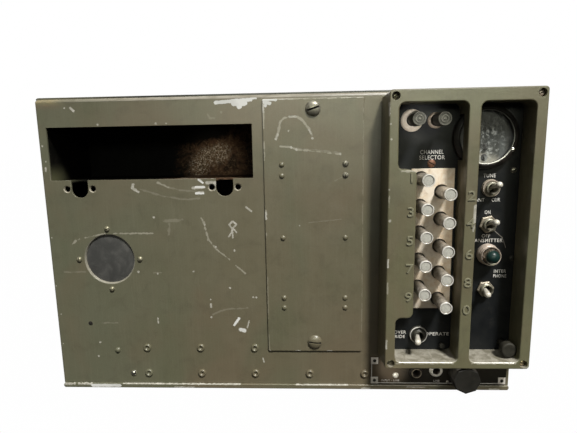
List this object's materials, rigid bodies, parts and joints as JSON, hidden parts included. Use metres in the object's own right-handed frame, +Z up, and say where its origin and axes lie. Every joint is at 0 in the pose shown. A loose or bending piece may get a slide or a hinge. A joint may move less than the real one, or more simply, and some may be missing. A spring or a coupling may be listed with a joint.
{
  "type": "vehicle radio set",
  "caption": "Steel-cased vehicle radio set with an open drawer bay, a lift-off access cover and a cast guard over push-buttons, toggles, meter and lamp.",
  "frame": {"origin": "centre of the case's footprint on the surface that it stands on", "axes": "+Z up, -Y out of the control front, +X to the user's right when facing the front"},
  "size_m": [0.4625, 0.353, 0.295],
  "materials": {
    "case_paint": "worn satin olive-drab enamel on sheet steel",
    "guard_paint": "satin olive enamel on a casting, chipped at the edges",
    "panel_black": "semi-gloss black enamel with rubbed white engraving",
    "bay_rust": "thin dark paint gone to speckled rust",
    "disc_blue": "flat blue-grey finish",
    "plate_bare": "bare plated steel, tarnished to a warm tan",
    "hardware_steel": "aged nickel and zinc plating",
    "brass_part": "dull brass",
    "moulding_black": "brown-black phenolic moulding",
    "dial_face": "aged cream enamel dial",
    "glass_clear": "clear, slightly hazed",
    "glass_green": "deep green pressed glass"
  },
  "bodies": {
    "case": {"cabinet_wrap": "case_paint", "top_cover": "case_paint", "rear_panel": "case_paint", "front_panel": "case_paint", "control_guard": "guard_paint", "control_panel": "panel_black", "lower_label_plate": "panel_black", "power_transformer": "panel_black", "dynamotor_frame": "panel_black", "drawer_bay": "bay_rust", "inspection_disc": "disc_blue", "selector_plate": "plate_bare", "guard_screw_1": "hardware_steel", "guard_screw_2": "hardware_steel", "guard_screw_3": "hardware_steel", "guard_screw_4": "hardware_steel", "button_bank_frame": "hardware_steel", "toggle_body_1": "hardware_steel", "toggle_body_2": "hardware_steel", "toggle_body_3": "hardware_steel", "toggle_body_4": "hardware_steel", "pilot_lamp_body": "hardware_steel", "chassis_deck": "hardware_steel", "tuning_capacitor_frame": "hardware_steel", "rear_connector": "hardware_steel", "phone_jack_left": "brass_part", "phone_jack_right": "brass_part", "binding_post_base_1": "moulding_black", "binding_post_base_2": "moulding_black", "meter_case": "moulding_black", "meter_dial": "dial_face", "meter_glass": "glass_clear", "vacuum_tube_1": "glass_clear", "vacuum_tube_2": "glass_clear", "vacuum_tube_3": "glass_clear"},
    "button_1": {"channel_button_1": "hardware_steel"},
    "button_2": {"channel_button_2": "hardware_steel"},
    "button_3": {"channel_button_3": "hardware_steel"},
    "button_4": {"channel_button_4": "hardware_steel"},
    "button_5": {"channel_button_5": "hardware_steel"},
    "button_6": {"channel_button_6": "hardware_steel"},
    "button_7": {"channel_button_7": "hardware_steel"},
    "button_8": {"channel_button_8": "hardware_steel"},
    "button_9": {"channel_button_9": "hardware_steel"},
    "button_10": {"channel_button_10": "hardware_steel"},
    "lever_1": {"toggle_lever_1": "hardware_steel"},
    "lever_2": {"toggle_lever_2": "hardware_steel"},
    "lever_3": {"toggle_lever_3": "hardware_steel"},
    "lever_4": {"toggle_lever_4": "hardware_steel"},
    "cover": {"access_cover": "case_paint"},
    "captive_screw_bottom": {"captive_screw_bottom": "hardware_steel"},
    "captive_screw_top": {"captive_screw_top": "hardware_steel"},
    "post_cap_1": {"binding_post_cap_1": "hardware_steel"},
    "post_cap_2": {"binding_post_cap_2": "hardware_steel"},
    "octagonal_knob": {"octagonal_knob": "moulding_black"},
    "trimmer_knob": {"trimmer_knob": "moulding_black"},
    "meter_needle": {"meter_needle": "panel_black"},
    "lamp_jewel": {"pilot_lamp_jewel": "glass_green"},
    "armature": {"dynamotor_armature": "brass_part"},
    "tuning_rotor": {"tuning_capacitor_rotor": "brass_part"}
  },
  "joints": [
    {"name": "button_1_press", "type": "slide", "parent": "case", "child": "button_1", "axis": [0, 1, 0], "range_m": [0, 0.006], "stiffness_N_per_m": 400},
    {"name": "button_2_press", "type": "slide", "parent": "case", "child": "button_2", "axis": [0, 1, 0], "range_m": [0, 0.006], "stiffness_N_per_m": 400},
    {"name": "button_3_press", "type": "slide", "parent": "case", "child": "button_3", "axis": [0, 1, 0], "range_m": [0, 0.006], "stiffness_N_per_m": 400},
    {"name": "button_4_press", "type": "slide", "parent": "case", "child": "button_4", "axis": [0, 1, 0], "range_m": [0, 0.006], "stiffness_N_per_m": 400},
    {"name": "button_5_press", "type": "slide", "parent": "case", "child": "button_5", "axis": [0, 1, 0], "range_m": [0, 0.006], "stiffness_N_per_m": 400},
    {"name": "button_6_press", "type": "slide", "parent": "case", "child": "button_6", "axis": [0, 1, 0], "range_m": [0, 0.006], "stiffness_N_per_m": 400},
    {"name": "button_7_press", "type": "slide", "parent": "case", "child": "button_7", "axis": [0, 1, 0], "range_m": [0, 0.006], "stiffness_N_per_m": 400},
    {"name": "button_8_press", "type": "slide", "parent": "case", "child": "button_8", "axis": [0, 1, 0], "range_m": [0, 0.006], "stiffness_N_per_m": 400},
    {"name": "button_9_press", "type": "slide", "parent": "case", "child": "button_9", "axis": [0, 1, 0], "range_m": [0, 0.006], "stiffness_N_per_m": 400},
    {"name": "button_10_press", "type": "slide", "parent": "case", "child": "button_10", "axis": [0, 1, 0], "range_m": [0, 0.006], "stiffness_N_per_m": 400},
    {"name": "toggle_1_throw", "type": "hinge", "parent": "case", "child": "lever_1", "pos_m": [0.1992, -0.158, 0.2039], "axis": [1, 0, 0], "range_deg": [0, 24]},
    {"name": "toggle_2_throw", "type": "hinge", "parent": "case", "child": "lever_2", "pos_m": [0.1985, -0.158, 0.1699], "axis": [1, 0, 0], "range_deg": [0, 24]},
    {"name": "toggle_3_throw", "type": "hinge", "parent": "case", "child": "lever_3", "pos_m": [0.1991, -0.158, 0.1068], "axis": [0, 0, 1], "range_deg": [0, 24]},
    {"name": "toggle_4_throw", "type": "hinge", "parent": "case", "child": "lever_4", "pos_m": [0.1366, -0.158, 0.06], "axis": [0, 0, 1], "range_deg": [0, 24]},
    {"name": "cover_lift_off", "type": "slide", "parent": "case", "child": "cover", "axis": [0, -1, 0], "range_m": [0, 0.06]},
    {"name": "captive_screw_bottom_turn", "type": "hinge", "parent": "cover", "child": "captive_screw_bottom", "pos_m": [0.0349, -0.159, 0.0515], "axis": [0, 1, 0], "continuous": true},
    {"name": "captive_screw_top_turn", "type": "hinge", "parent": "cover", "child": "captive_screw_top", "pos_m": [0.0349, -0.159, 0.2795], "axis": [0, 1, 0], "continuous": true},
    {"name": "post_cap_1_turn", "type": "hinge", "parent": "case", "child": "post_cap_1", "pos_m": [0.1249, -0.159, 0.2669], "axis": [0, 1, 0], "continuous": true},
    {"name": "post_cap_2_turn", "type": "hinge", "parent": "case", "child": "post_cap_2", "pos_m": [0.1464, -0.159, 0.2665], "axis": [0, 1, 0], "continuous": true},
    {"name": "octagonal_knob_turn", "type": "hinge", "parent": "case", "child": "octagonal_knob", "pos_m": [0.1787, -0.159, 0.0221], "axis": [0, 1, 0], "range_deg": [-150, 150]},
    {"name": "trimmer_knob_turn", "type": "hinge", "parent": "case", "child": "trimmer_knob", "pos_m": [0.2173, -0.159, 0.0519], "axis": [0, 1, 0], "range_deg": [-150, 150]},
    {"name": "meter_needle_swing", "type": "hinge", "parent": "case", "child": "meter_needle", "pos_m": [0.1913, -0.164, 0.2418], "axis": [0, 1, 0], "range_deg": [0, 90], "stiffness_Nm_per_rad": 0.01},
    {"name": "lamp_jewel_turn", "type": "hinge", "parent": "case", "child": "lamp_jewel", "pos_m": [0.1995, -0.159, 0.141], "axis": [0, 1, 0], "continuous": true},
    {"name": "armature_spin", "type": "hinge", "parent": "case", "child": "armature", "pos_m": [-0.1105, 0.037, 0.108], "axis": [0, 1, 0], "continuous": true},
    {"name": "tuning_rotor_turn", "type": "hinge", "parent": "case", "child": "tuning_rotor", "pos_m": [0.0615, -0.009, 0.1], "axis": [0, 1, 0], "range_deg": [-180, 0]}
  ]
}
